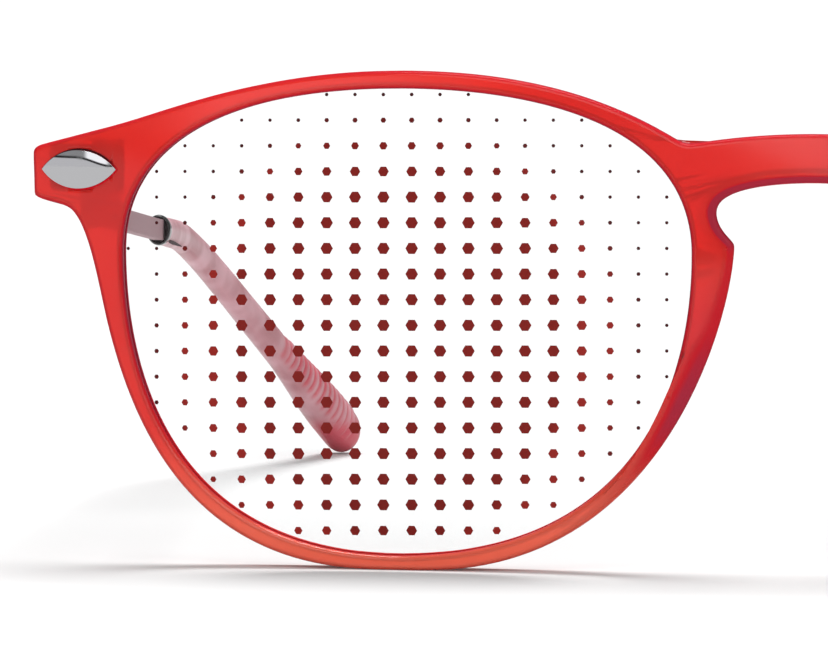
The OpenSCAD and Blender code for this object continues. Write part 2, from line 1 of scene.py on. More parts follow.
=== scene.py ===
# %% [markdown]
# # Reading glasses, dressed and lit
#
# The glasses come in as solids with their true sizes and joints. This lesson
# gives each piece the finish that it has in the hand: see-through red plastic,
# polished plaques, satin arms, dark rings and frosted sleeves. A solid whose form
# is right is welded and given soft edges. Pieces that a solid shows too plainly,
# such as the ribbed sleeves, get a finer skin in the same place.

# %% Load the solids
from math import cos, pi, radians, sin, sqrt

import bmesh
import bpy
from mathutils import Matrix, Vector
from mathutils.bvhtree import BVHTree
from mathutils.kdtree import KDTree


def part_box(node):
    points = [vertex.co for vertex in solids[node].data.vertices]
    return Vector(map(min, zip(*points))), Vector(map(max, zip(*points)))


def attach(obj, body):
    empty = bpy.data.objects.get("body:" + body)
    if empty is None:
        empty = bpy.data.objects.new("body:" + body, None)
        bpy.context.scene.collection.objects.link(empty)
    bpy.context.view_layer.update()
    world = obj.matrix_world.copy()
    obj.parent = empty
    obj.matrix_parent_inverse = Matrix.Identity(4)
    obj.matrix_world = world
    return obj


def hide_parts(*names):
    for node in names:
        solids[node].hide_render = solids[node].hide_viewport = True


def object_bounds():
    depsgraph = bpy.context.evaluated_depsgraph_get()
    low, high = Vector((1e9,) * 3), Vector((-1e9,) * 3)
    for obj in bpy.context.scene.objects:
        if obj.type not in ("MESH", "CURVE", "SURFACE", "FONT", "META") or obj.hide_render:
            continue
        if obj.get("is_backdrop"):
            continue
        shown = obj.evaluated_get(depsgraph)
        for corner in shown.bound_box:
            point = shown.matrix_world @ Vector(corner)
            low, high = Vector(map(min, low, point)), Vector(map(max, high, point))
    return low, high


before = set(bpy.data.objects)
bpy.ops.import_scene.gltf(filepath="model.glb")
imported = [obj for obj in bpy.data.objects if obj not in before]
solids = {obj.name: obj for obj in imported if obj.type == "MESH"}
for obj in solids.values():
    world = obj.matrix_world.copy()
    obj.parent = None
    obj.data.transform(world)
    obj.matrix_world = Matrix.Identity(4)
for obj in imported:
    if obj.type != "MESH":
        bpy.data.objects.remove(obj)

MM = 0.001
SIDES = {"right": -1, "left": 1}  # the wearer's hands, and their side along x
cad_box = [list(corner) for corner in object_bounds()]
low, high = (Vector(corner) for corner in cad_box)
print(len(solids), "solids,", " x ".join(f"{d / MM:.1f}" for d in high - low), "mm")


def mm(*sizes):
    """Sizes in millimetres, turned into metres."""
    return [size * MM for size in sizes]


# %% [markdown]
# ## The viewpoint
#
# The picture was taken from straight in front, a little above the glasses, with a
# long lens aimed at the wearer's right eye. From half a metre away the arm behind
# the lens shrinks visibly, which fixes the distance. The lens length then follows
# from how much of the front the picture takes in.

# %% Place the camera
LENS_LENGTH, SENSOR_WIDTH = 283.3, 36
EYE_AWAY, EYE_HEIGHT = 0.55, 0.05074
DEGREES_DOWN, DEGREES_ASIDE = 3.126, 3.498

camera_data = bpy.data.cameras.new("photo_lens")
camera_data.lens = LENS_LENGTH
camera_data.sensor_width = SENSOR_WIDTH
camera_data.clip_start = 0.01
camera = bpy.data.objects.new("camera", camera_data)
camera.location = (0, low.y - EYE_AWAY, EYE_HEIGHT)
camera.rotation_euler = (radians(90 - DEGREES_DOWN), 0, radians(DEGREES_ASIDE))
bpy.context.scene.collection.objects.link(camera)
bpy.context.scene.camera = camera
bpy.context.scene.view_settings.view_transform = "Standard"
print("camera", [round(c, 4) for c in camera.location], LENS_LENGTH, "mm lens")

# %% [markdown]
# ## Shader maths as plain expressions
#
# Node trees get long when each sum is wired by hand. Here one small class wraps a
# socket, so that `1 - mask` or `noise * 0.1 + 0.3` adds its Math nodes by itself.
# A second class holds a tree and adds any other node from its type, its settings
# and what goes into its sockets.


# %% Wrap a socket
class Wire:
    """A value on its way through a node tree."""

    def __init__(self, tree, socket):
        self.tree, self.socket = tree, socket

    def math(self, operation, *terms):
        return self.tree.node(
            "Math", {"operation": operation}, dict(enumerate((self, *terms)))
        )

    def __add__(self, other):
        return self.math("ADD", other)

    __radd__ = __add__

    def __mul__(self, other):
        return self.math("MULTIPLY", other)

    __rmul__ = __mul__

    def __sub__(self, other):
        return self.math("SUBTRACT", other)

    def __rsub__(self, other):
        return (self * -1) + other

    def step(self, start, end):
        """0 before start, 1 after end, and smooth between them."""
        settings = {"interpolation_type": "SMOOTHSTEP"}
        inputs = {"Value": self, "From Min": start, "From Max": end}
        return self.tree.node("MapRange", settings, inputs)

    def band(self, start, full, fading, gone):
        """1 from full to fading, and 0 before start and after gone."""
        return self.step(start, full) * (1 - self.step(fading, gone))


# %% Wrap a tree
MIX_FACTOR, MIX_FIRST, MIX_SECOND, MIX_RESULT = 0, 6, 7, 2  # sockets for colours


class Tree:
    """A node tree that is built one node at a time."""

    def __init__(self, owner):
        owner.use_nodes = True
        self.nodes, self.links = owner.node_tree.nodes, owner.node_tree.links
        self.nodes.clear()

    def feed(self, socket, value):
        if isinstance(value, Wire):
            self.links.new(value.socket, socket)
        else:
            socket.default_value = value

    def node(self, kind, settings=None, inputs=None, output=0):
        made = self.nodes.new("ShaderNode" + kind)
        for name, value in (settings or {}).items():
            setattr(made, name, value)
        for name, value in (inputs or {}).items():
            self.feed(made.inputs[name], value)
        return Wire(self, made.outputs[output]) if made.outputs else made

    def split(self, vector):
        """The three numbers of a vector."""
        parts = self.node("SeparateXYZ", None, {0: vector}).socket.node
        return [Wire(self, socket) for socket in parts.outputs]

    def blend_colors(self, factor, first, second):
        """first where factor is 0, second where it is 1."""
        inputs = {MIX_FACTOR: factor, MIX_FIRST: first, MIX_SECOND: second}
        return self.node("Mix", {"data_type": "RGBA"}, inputs, MIX_RESULT)

    def mix_shaders(self, factor, first, second):
        return self.node("MixShader", None, {0: factor, 1: first, 2: second})


def rgb(red, green, blue):
    """A colour as the screen shows it, 0 to 255, turned into scene light."""
    return (*((c / 255) ** 2.2 for c in (red, green, blue)), 1)


def grey(level):
    """A grey of the studio, with a trace of blue."""
    return (level, level, level * 1.02, 1)


WHITE = (1, 1, 1, 1)

# %% [markdown]
# ## The studio
#
# The glasses stand on a white table that runs into a white background, with soft
# grey under the rim. A white world alone would light them evenly and give polished
# metal nothing to mirror. So only what is looked at is white, and the pieces get
# their light from two soft lamps and a weak even glow. Past the table's edge the
# mirrored studio is dark, with one bright strip lamp: that is the dark band along
# the top of each plaque. The edge runs a little downhill towards the middle, as it
# does on the plaque.


# %% Paint the studio that metal mirrors
def looked_at(tree):
    """1 for rays that look at something: straight, mirrored or through glass."""
    kinds = ("Is Camera Ray", "Is Glossy Ray", "Is Transmission Ray")
    seen, *others = (tree.node("LightPath", None, None, kind) for kind in kinds)
    for other in others:
        seen = seen.math("MAXIMUM", other)
    return seen


EDGE_HEIGHT, EDGE_DROP, EDGE_SLOPE = 0.078, 0.085, (-0.6, -0.24)
STRIP_ACROSS, STRIP_UP = (-0.53, -0.47, -0.3, -0.24), (0.024, 0.034, 0.13, 0.15)
DARKEST, STRIP_LIGHT, TABLE_BLUR = 0.03, 2.0, 0.008
ROOM_GREYS = (  # where above the edge each grey starts and is full, and how light it is
    (0.018, 0.034, 0.5), (0.06, 0.16, 0.24), (0.4, 0.9, 0.6),
)
AMBIENT = 0.34

world = bpy.data.worlds.new("studio")
bpy.context.scene.world = world
sky = Tree(world)
to_side, _, up = sky.split(sky.node("TexCoord", None, None, "Generated"))
above_edge = up - (EDGE_HEIGHT - to_side.step(*EDGE_SLOPE) * EDGE_DROP)
strip = to_side.band(*STRIP_ACROSS) * above_edge.band(*STRIP_UP)
room = grey(DARKEST)
for start, full, level in ROOM_GREYS:
    room = sky.blend_colors(above_edge.step(start, full), room, grey(level))
room = sky.blend_colors(strip, room, grey(STRIP_LIGHT))
room = sky.blend_colors(above_edge.step(0, TABLE_BLUR), grey(1.0), room)
room = sky.blend_colors(sky.node("LightPath", None, None, "Is Camera Ray"), room, WHITE)
shown = sky.node("Background", None, {"Color": room, "Strength": 1.0})
ambient = sky.node("Background", None, {"Color": WHITE, "Strength": AMBIENT})
sky.node("OutputWorld", None, {0: sky.mix_shaders(looked_at(sky), ambient, shown)})
print("studio:", len(sky.nodes), "nodes")


# %% Hang two soft lamps
def soft_lamp(name, energy, spread, turn):
    data = bpy.data.lights.new(name, "SUN")
    data.energy, data.angle = energy, radians(spread)
    lamp = bpy.data.objects.new(name, data)
    lamp.rotation_euler = [radians(a) for a in turn]
    bpy.context.scene.collection.objects.link(lamp)
    print(name, "turned", turn)


soft_lamp("overhead_lamp", energy=3.4, spread=30, turn=(-16, 3, 0))
soft_lamp("front_lamp", energy=1.75, spread=60, turn=(58, 0, 12))

# %% [markdown]
# ### Table
#
# A table that glowed by itself would lose its shadow, and a plain white one would
# look grey. This one is matt paint, just pale enough for the lamps to bring it to
# white, with a small share of light of its own where it is looked at.

# %% Lay the table
FLOOR_HALF = 20
PAINT, OWN_LIGHT = 0.645, 0.05

floor_mesh = bpy.data.meshes.new("floor")
bm = bmesh.new()
bmesh.ops.create_grid(bm, x_segments=1, y_segments=1, size=FLOOR_HALF)
bm.to_mesh(floor_mesh)
bm.free()
floor = bpy.data.objects.new("floor", floor_mesh)
bpy.context.scene.collection.objects.link(floor)
floor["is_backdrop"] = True

table = bpy.data.materials.new("white_table")
tree = Tree(table)
paint = tree.node("BsdfDiffuse", None, {"Color": (PAINT, PAINT, PAINT, 1)})
glow = tree.node("Emission", None, {"Color": WHITE, "Strength": 1.0})
lit = tree.mix_shaders(looked_at(tree) * OWN_LIGHT, paint, glow)
tree.node("OutputMaterial", None, {"Surface": lit})
floor_mesh.materials.append(table)
print("table", 2 * FLOOR_HALF, "m wide")

# %% [markdown]
# ### Lens shadows
#
# A lens throws more shadow than a clear shader gives, and a darker lens would hide
# what lies behind it. So a flag that only lamps can see stands in each lens. It
# makes the soft dark oval under the rim.

# %% Hold a flag in each lens
LENS_MIDDLE = Vector((34.65, 2.6, 21.3)) * MM  # its depth counts from the front's tip
FLAG_HALF, FLAG_TURN = (15.0, 18.5), 8

for side in SIDES.values():
    flag_mesh = bpy.data.meshes.new("lens_flag")
    bm = bmesh.new()
    bmesh.ops.create_circle(bm, cap_ends=True, segments=48, radius=MM)
    bmesh.ops.scale(bm, vec=(*FLAG_HALF, 1), verts=bm.verts)
    upright = Matrix.Rotation(pi / 2, 4, "X")
    turned = Matrix.Rotation(radians(FLAG_TURN * side), 4, "Z") @ upright
    middle = (LENS_MIDDLE.x * side, low.y + LENS_MIDDLE.y, LENS_MIDDLE.z)
    place = Matrix.Translation(middle)
    bmesh.ops.transform(bm, matrix=place @ turned, verts=bm.verts)
    bm.to_mesh(flag_mesh)
    bm.free()
    flag = bpy.data.objects.new("lens_flag", flag_mesh)
    bpy.context.scene.collection.objects.link(flag)
    flag.visible_camera = flag.visible_glossy = flag.visible_transmission = False
    flag.visible_diffuse = False
    flag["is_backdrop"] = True
print("flags", " x ".join(str(2 * half) for half in FLAG_HALF), "mm")

# %% [markdown]
# ## Finishes
#
# Every finish starts from one Principled shader. What changes over a surface, such
# as cloudy dye, brushed lines or fingerprints, comes from noise on the object's own
# coordinates, which are metres here. So a pattern's size is a real size. Places
# that differ for another reason are marked on the mesh, and the shader reads the
# mark.


# %% A finish and its patterns
def sockets(values):
    """Turns names such as Transmission_Weight into the names of sockets."""
    return {name.replace("_", " "): value for name, value in values.items()}


class Finish(Tree):
    """A material with one Principled shader, ready for patterns."""

    def __init__(self, name, **values):
        self.material = bpy.data.materials.new(name)
        super().__init__(self.material)
        self.skin = self.node("BsdfPrincipled", None, sockets(values))
        self.end = self.node("OutputMaterial", None, {"Surface": self.skin})
        self.place = self.node("TexCoord", None, None, "Object")

    def set(self, name, value):
        self.feed(self.skin.socket.node.inputs[name], value)

    def noise(self, grain_mm, detail, stretch=(1, 1, 1)):
        """Soft noise from 0 to 1 with a grain of that size in millimetres."""
        scale = tuple(s / (grain_mm * MM) for s in stretch)
        place = self.node("Mapping", None, {"Vector": self.place, "Scale": scale})
        inputs = {"Vector": place, "Scale": 1.0, "Detail": detail}
        return self.node("TexNoise", None, inputs)

    def mottled(self, grain_mm, first, second):
        """Two close colours that drift into each other."""
        return self.blend_colors(self.noise(grain_mm, 2.0), first, second)

    def bump(self, height, depth_mm, strength):
        inputs = {"Height": height, "Distance": depth_mm * MM, "Strength": strength}
        self.set("Normal", self.node("Bump", None, inputs))

    def soak(self, color, per_mm):
        """Colours the light by how far it goes through the solid."""
        inputs = {"Color": (*color, 1), "Density": per_mm / MM}
        volume = self.node("VolumeAbsorption", None, inputs)
        self.feed(self.end.inputs["Volume"], volume)

    def mark(self, name):
        """The number that a mesh attribute holds at each place."""
        return self.node("Attribute", {"attribute_name": name}, None, "Fac")

    def second_skin(self, share, **values):
        """Mixes another Principled shader over the first."""
        other = self.node("BsdfPrincipled", None, sockets(values))
        self.feed(self.end.inputs["Surface"], self.mix_shaders(share, self.skin, other))

    def tell(self):
        print(self.material.name, "has", len(self.nodes), "nodes")


# %% [markdown]
# ### Red plastic
#
# The front is clear plastic with red dye all through it. Face on, 3.4 mm of it lets
# almost only red through. A volume alone could give that red, but not its changes
# from place to place, so the skin carries most of the dye and a light volume
# deepens it. The bridge and its sides are the deepest red and the rims are lighter.
# Near the table the skin is painted lighter and orange-pink. This is painted light
# for the glow that comes up through the rim from the table.

# %% Mix the dye and the painted glow from the table
RIMS = mm(19, 30, 50, 58)  # out from the middle, as the next one
BESIDE_NOSE = mm(9, 15)
BELOW_BRIDGE, NEAR_FLOOR = mm(20, 27), mm(2, 13)  # up from the table
CLOUD_GRAIN, SCUFF_GRAIN = 9.0, 1.6

red_plastic = Finish(
    "cherry_plastic", IOR=1.49, Transmission_Weight=0.5, Specular_IOR_Level=0.14
)
across, _, height = red_plastic.split(red_plastic.place)
from_middle = across.math("ABSOLUTE")
cloud = red_plastic.noise(CLOUD_GRAIN, 1.0)
clouded = cloud.step(0.3, 0.7)
dye_and_table_glow = red_plastic.blend_colors(clouded, rgb(238, 48, 43), rgb(244, 56, 48))
dye_and_table_glow = red_plastic.blend_colors(from_middle.band(*RIMS), dye_and_table_glow, rgb(255, 56, 48))
at_nose = (1 - from_middle.step(*BESIDE_NOSE)) * (1 - height.step(*BELOW_BRIDGE))
dye_and_table_glow = red_plastic.blend_colors(at_nose * 0.8, dye_and_table_glow, rgb(230, 47, 54))
# Painted light: low down the rim is painted orange-pink for the glow from the table.
near_floor = 1 - height.step(*NEAR_FLOOR)
dye_and_table_glow = red_plastic.blend_colors(near_floor, dye_and_table_glow, rgb(255, 112, 86))
red_plastic.set("Base Color", dye_and_table_glow)
red_plastic.set("Roughness", red_plastic.noise(SCUFF_GRAIN, 3.0) * 0.04 + 0.06)
red_plastic.soak((0.8, 0.0, 0.1), per_mm=0.12)
red_plastic.tell()

# %% [markdown]
# Along a wall the way through the plastic is longer, and this is painted on as
# shade: a rounded edge is painted crimson, and a wall that slants behind the face is
# painted dark wine red. How much of a wall each place is stands in the mesh
# attribute "wall": 0 on the face, about a half on a rounded edge and 1 on a wall of
# an eye. A second, matt skin of painted shade covers the first by that share, and
# turns from crimson to wine red in the upper half of its range.

# %% Darken its walls with painted shade
# Shares of the painted wall shade: where it covers the face, and where it turns to wine
# red.
COVERED, WINE = (0, 0.55), (0.45, 0.95)  # from what to what share of wall
wall = red_plastic.mark("wall")
painted_wine_shade = red_plastic.blend_colors(cloud, rgb(138, 40, 58), rgb(152, 46, 64))
red_plastic.second_skin(
    wall.step(*COVERED) * 0.85,
    Base_Color=red_plastic.blend_colors(wall.step(*WINE), rgb(180, 32, 42), painted_wine_shade),
    Roughness=0.35, IOR=1.49, Specular_IOR_Level=0.0,
)
red_plastic.tell()

# %% [markdown]
# ### Lens and printed dots
#
# A reading lens is so weak that it hardly shows, apart from the sheen of its two
# faces. A glass shader would bend and darken what lies behind. A clear shader with
# a share of gloss by angle gives the sheen alone. The lens carries a print of small
# dark-red hexagons that shrink towards the rim. The ink looks darker on the
# smallest ones, which an attribute called "small" marks.

# %% Mix the lens and the ink
clear_lens = Finish("clear_lens")
sheen = clear_lens.node("Fresnel", None, {"IOR": 1.5}).math("MINIMUM", 0.04) * 0.12
tint = (0.985, 0.99, 0.99, 1)
see_through = clear_lens.node("BsdfTransparent", None, {"Color": tint})
gloss = clear_lens.node("BsdfGlossy", None, {"Color": WHITE, "Roughness": 0.02})
clear_lens.feed(
    clear_lens.end.inputs["Surface"], clear_lens.mix_shaders(sheen, see_through, gloss)
)
clear_lens.tell()

ink = Finish("dot_ink", Roughness=0.45, Specular_IOR_Level=0.2)
ink_color = ink.mottled(0.3, rgb(132, 26, 20), rgb(142, 35, 28))
ink.set("Base Color", ink.blend_colors(ink.mark("small"), ink_color, rgb(62, 6, 12)))
ink.tell()

# %% [markdown]
# ### Bright metals
#
# The plaques are polished and show little but fingerprints, as faint patches of
# roughness. The hinges are satin steel with a fine grain, and the screws and rivets
# are a little brighter, because their heads were turned and not stamped.

# %% Polish the plaques, hinges and screws
plaque_metal = Finish("plaque_chrome", Metallic=1.0)
plaque_metal.set("Base Color", rgb(176, 176, 178))
fingerprints = plaque_metal.noise(0.8, 3.0).step(0.45, 0.8)
plaque_metal.set("Roughness", fingerprints * 0.06 + 0.03)
plaque_metal.tell()

hinge_steel = Finish("hinge_steel", Metallic=1.0)
hinge_steel.set("Base Color", rgb(190, 184, 182))
hinge_steel.set("Roughness", hinge_steel.noise(0.25, 4.0) * 0.25 + 0.16)
hinge_steel.bump(hinge_steel.noise(0.12, 3.0), 0.004, 0.4)
hinge_steel.tell()

screw_steel = Finish("screw_steel", Metallic=1.0)
screw_steel.set("Base Color", rgb(205, 202, 200))
screw_steel.set("Roughness", screw_steel.noise(0.2, 3.0) * 0.15 + 0.12)
screw_steel.tell()

# %% [markdown]
# ### Lacquered arm
#
# The arms have a mauve lacquer over brushed metal. Brushing runs along the arm, so
# its noise is stretched that way: fine across the arm and long along it. Half
# metal and half lacquer keeps the colour steady while the arm turns.

# %% Lacquer the arms
ALONG_ARM = (1, 0.03, 1)
arm_metal = Finish("mauve_lacquer", Metallic=0.5, Specular_IOR_Level=0.2)
brushing = arm_metal.noise(0.12, 3.0, ALONG_ARM)
lacquer = arm_metal.blend_colors(brushing, rgb(168, 134, 140), rgb(186, 155, 160))
arm_metal.set("Base Color", lacquer)
arm_metal.set("Specular Tint", rgb(150, 128, 131))
arm_metal.set("Roughness", brushing * 0.16 + 0.36)
arm_metal.bump(brushing, 0.006, 0.35)
arm_metal.tell()

# %% [markdown]
# ### Rings, seats and slits
#
# Three dark finishes are left. The ring between arm and sleeve is black nickel,
# almost a mirror. Each plaque sits in a shallow seat whose rim shows as a thin line
# through the plastic, and that line is painted light and shade: crimson below,
# painted as lit where light reaches it, and nearly black along the top, as painted
# shade. The slit in a sleeve is painted as a soft, matt shadow.

# %% Mix the dark finishes
SEAT_DARK = mm(33.6, 35)  # up from the table

ring_metal = Finish("black_nickel", IOR=1.5, Specular_IOR_Level=0.5)
ring_metal.set("Base Color", ring_metal.mottled(0.5, rgb(10, 9, 10), rgb(20, 18, 19)))
ring_metal.set("Roughness", ring_metal.noise(0.5, 3.0) * 0.08 + 0.06)
ring_metal.tell()

seat_shadow = Finish("seat_shadow", Roughness=0.35, Specular_IOR_Level=0.1)
_, _, seat_height = seat_shadow.split(seat_shadow.place)
# Painted light and shade on the seat: crimson below, nearly black along the top.
seat_painted_light = seat_shadow.mottled(0.6, rgb(205, 4, 32), rgb(214, 14, 38))
along_top = seat_height.step(*SEAT_DARK)
seat_color = seat_shadow.blend_colors(along_top, seat_painted_light, rgb(60, 8, 14))
seat_shadow.set("Base Color", seat_color)
seat_shadow.tell()

# Painted shade: the dark colour of the inside of the slit.
slit_dark = Finish("slit_dark", Roughness=0.6, Specular_IOR_Level=0.1)
slit_dark.set("Base Color", slit_dark.mottled(0.4, rgb(48, 32, 36), rgb(64, 44, 48)))
slit_dark.tell()

# %% [markdown]
# ### Frosted sleeve
#
# The sleeve is soft pink plastic with a matt skin. Light goes in and is coloured on
# its way, so the thin part round the metal core looks pale and greyish. The grooves
# of the grip are painted a deeper red as shade, and the thick end, where no core
# lies inside, is painted redder. Both places are marked on the mesh by an attribute
# called "deep", because no pattern in space would follow the ribs. There a redder
# skin covers the first.

# %% Mix the sleeve plastic
sleeve_plastic = Finish(
    "frosted_pink", IOR=1.45, Transmission_Weight=0.25, Specular_IOR_Level=0.18
)
haze = sleeve_plastic.noise(4.0, 2.0).step(0.25, 0.75)
pale = sleeve_plastic.blend_colors(haze, rgb(186, 124, 131), rgb(226, 176, 185))
sleeve_plastic.set("Base Color", pale)
sleeve_plastic.set("Roughness", sleeve_plastic.noise(0.8, 3.0) * 0.08 + 0.3)
sleeve_plastic.bump(sleeve_plastic.noise(0.25, 2.0), 0.004, 0.5)
sleeve_plastic.soak((0.82, 0.0, 0.07), per_mm=0.25)
# Painted shade in the grooves and a painted redder end, where the mark "deep" is high.
sleeve_plastic.second_skin(
    sleeve_plastic.mark("deep") * 0.9,
    Base_Color=sleeve_plastic.mottled(1.2, rgb(178, 36, 56), rgb(192, 50, 70)),
    Roughness=0.4, IOR=1.45,
)
sleeve_plastic.tell()

# %% [markdown]
# ## From solid to piece
#
# A solid from the frame is a bag of loose triangles. To finish one, a copy is
# welded into one skin, its sharp edges get a small bevel that catches the light,
# and its faces are shaded smooth except across the corners that stay. The solid
# itself then stays hidden and goes on colliding for the physics.


# %% Weld a solid and turn it into a piece
WELD = 0.001 * MM


def welded(solid_name):
    bm = bmesh.new()
    bm.from_mesh(solids[solid_name].data)
    bmesh.ops.remove_doubles(bm, verts=bm.verts, dist=WELD)
    return bm


def corners(bm, angle):
    """The edges where two faces meet at more than an angle."""
    inner = (e for e in bm.edges if len(e.link_faces) == 2)
    return [e for e in inner if e.calc_face_angle() > radians(angle)]


def new_piece(name, bm, finish, body, stands_for=(), sharp=35):
    """Turns a bmesh into a piece on a body. Corners over sharp degrees stay sharp."""
    mesh = bpy.data.meshes.new(name)
    bm.to_mesh(mesh)
    bm.free()
    mesh.materials.append(finish.material)
    mesh.shade_smooth()
    mesh.set_sharp_from_angle(angle=radians(sharp))
    piece = bpy.data.objects.new(name, mesh)
    bpy.context.scene.collection.objects.link(piece)
    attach(piece, body)
    for solid in stands_for:
        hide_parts(solid)
    return piece


# %% [markdown]
# Two kinds of shading mend what short facets show. A face that lies on a ball gets
# the exact normals of that ball. On a stamped part the broad faces rule the
# shading, so that flats stay flat beside their bevels.


# %% Shade and soften
def shade_as_ball(piece, centre, fit=3.0, blend=50.0):
    """Gives the faces that lie on balls round a centre the exact normals of a ball.

    The rounded edge beside such a face starts from the same normals. Both angles,
    for what counts as such a face and as its edge, are in degrees.
    """
    mesh = piece.data
    outward = [(v.co - centre).normalized() for v in mesh.vertices]
    sides = [0] * len(outward)
    for face in mesh.polygons:
        for v in face.vertices:
            lean = face.normal.dot(outward[v])
            if abs(lean) > cos(radians(fit)):
                sides[v] = 1 if lean > 0 else -1
    normals = [n.vector.copy() for n in mesh.corner_normals]
    for face in mesh.polygons:
        for corner in face.loop_indices:
            v = mesh.loops[corner].vertex_index
            lean = face.normal.dot(outward[v]) * sides[v]
            if sides[v] and lean > cos(radians(blend)):
                normals[corner] = outward[v] * sides[v]
    mesh.normals_split_custom_set(normals)


def softened(solid_name, name, edge_mm, finish, body, slot, sharp=35):
    """A welded copy of a solid with bevelled corners."""
    bm = welded(solid_name)
    bmesh.ops.dissolve_limit(
        bm, angle_limit=radians(1), verts=bm.verts, edges=bm.edges, delimit={"NORMAL"}
    )
    bmesh.ops.bevel(
        bm, geom=corners(bm, sharp), offset=edge_mm * MM, affect="EDGES", segments=2,
        profile=0.5, clamp_overlap=True, material=-1,
    )
    piece = new_piece(name, bm, finish, body, [solid_name], sharp)
    piece.modifiers.new("even_normals", "WEIGHTED_NORMAL").keep_sharp = True
    print(name, len(piece.data.polygons), "faces")
    return piece


# %% [markdown]
# ## The front
#
# The moulding's form is right as it stands: a curved front with grooved rims, a
# keyhole bridge and nose sides. Close up, though, its outline shows short straight
# pieces, and its face is made of long thin triangles. Subdividing it whole would
# round off the grooves. So the face is taken off, the walls are cut finer along
# smooth curves, and the face is filled again.

# %% Take the face off
FACE_R, FRONT_T = 250 * MM, 3.4 * MM
FACE_BALL = Vector((0, low.y - 0.1255 * MM + FACE_R, 21.3 * MM))
FLAT_SLACK = 0.045 * MM


def depth_of(v):
    """How deep a point lies behind the ball that the face follows."""
    return FACE_R - (v.co - FACE_BALL).length


def lies_at(depth):
    return lambda v: abs(depth_of(v) - depth) < FLAT_SLACK


def face_outline(bm):
    """The open edges round the face that was taken off."""
    inner = (e for e in bm.edges if len(e.link_faces) == 1)
    return [e for e in inner if all(map(on_face, e.verts))]


bm = welded("front_frame")
on_face, on_back = lies_at(0), lies_at(FRONT_T)
plain = [f for f in bm.faces if all(map(on_face, f.verts))]
bmesh.ops.delete(bm, geom=plain, context="FACES")
walls = [f for f in bm.faces if not all(map(on_back, f.verts))]
bmesh.ops.join_triangles(
    bm, faces=walls,
    angle_face_threshold=radians(50), angle_shape_threshold=radians(70),
)
print(len(plain), "flat faces off,", len(bm.faces), "left")

# %% [markdown]
# The walls are bands of four-sided faces. From an open edge, the opposite edge of
# each face runs along the outline too, and so on down the wall. Every such edge
# becomes three edges on a curve that passes smoothly through its neighbours.

# %% Find the edges that run along the walls
CUTS, SMOOTH_TURN = 2, radians(50)


def edges_along(bm):
    along = {e for e in bm.edges if len(e.link_faces) == 1}
    waiting = list(along)
    while waiting:
        edge = waiting.pop()
        for face in edge.link_faces:
            if len(face.edges) == 4:
                for other in face.edges:
                    if other not in along and not set(other.verts) & set(edge.verts):
                        along.add(other)
                        waiting.append(other)
    return along


def leaving(v, edge, along):
    """The way the curve leaves a point towards the other end of an edge."""
    straight = edge.other_vert(v).co - v.co
    beyond = [e.other_vert(v) for e in v.link_edges if e in along and e is not edge]
    if len(beyond) != 1:
        return straight
    before = v.co - beyond[0].co
    if before.length < WELD or before.angle(straight) > SMOOTH_TURN:
        return straight
    return (straight + before).normalized() * straight.length


# %% Cut the walls finer
along = edges_along(bm)
curved = KDTree(len(along) * CUTS)
targets = []
for edge in along:
    first, last = edge.verts
    out, back = leaving(first, edge, along), leaving(last, edge, along)
    for cut in range(1, CUTS + 1):
        t = cut / (CUTS + 1)
        bend = out * t * (1 - t) ** 2 + back * t * t * (1 - t)
        smooth = first.co.lerp(last.co, t * t * (3 - 2 * t)) + bend
        curved.insert(first.co.lerp(last.co, t), len(targets))
        targets.append(smooth)
curved.balance()
corners_before = set(bm.verts)
bmesh.ops.subdivide_edges(bm, edges=list(along), cuts=CUTS, use_grid_fill=True)
for v in bm.verts:
    if v not in corners_before:
        _, index, distance = curved.find(v.co)
        if distance < WELD:
            v.co = targets[index]
print(len(along), "edges cut in", CUTS + 1)

# %% [markdown]
# Behind the keyhole and the lower nose sides the wall slants, and it shows through
# the face as a soft dark band, which is painted on the face as shade. The band gets
# its own edges on the face: the outline is copied inwards twice, first where the
# band is full and then where it ends.

# %% Measure the band of painted shade beside the nose
NOSE_X, NOSE_Z = 22 * MM, 33.6 * MM
# The share of the dark colour is the share of painted shade.
BAND = (  # height, share of the dark colour, width of the full band, where it ends
    (0.3, 0.0, 0.1, 0.3), (6, 0.05, 0.1, 0.5), (9, 0.3, 0.2, 0.9),
    (12, 0.75, 0.35, 1.3), (15, 0.9, 0.45, 1.6), (18, 0.75, 0.4, 1.6),
    (21, 0.5, 0.2, 1.2), (27, 0.42, 0.1, 0.32), (28.2, 0.9, 0.15, 0.36),
    (29.5, 0.92, 0.25, 0.5), (31, 0.9, 0.3, 0.6), (33, 0.85, 0.12, 0.36),
    (34, 0.85, 0.12, 0.36),
)


def band_at(v):
    """The band's share and its two widths at a point of the outline."""
    for (z0, *start), (z1, *end) in zip(BAND, BAND[1:]):
        if v.co.z <= z1 * MM or z1 == BAND[-1][0]:
            t = min(1, max(0, (v.co.z / MM - z0) / (z1 - z0)))
            return [a + (b - a) * t for a, b in zip(start, end)]


def beside_nose_at(v):
    return abs(v.co.x) < NOSE_X and v.co.z < NOSE_Z


def outer_outline(bm):
    """The open edges that go round the whole face."""
    edges = set(face_outline(bm))
    waiting = [max((v for e in edges for v in e.verts), key=lambda v: v.co.x)]
    found = set()
    while waiting:
        for edge in waiting.pop().link_edges:
            if edge in edges and edge not in found:
                found.add(edge)
                waiting.extend(edge.verts)
    return found


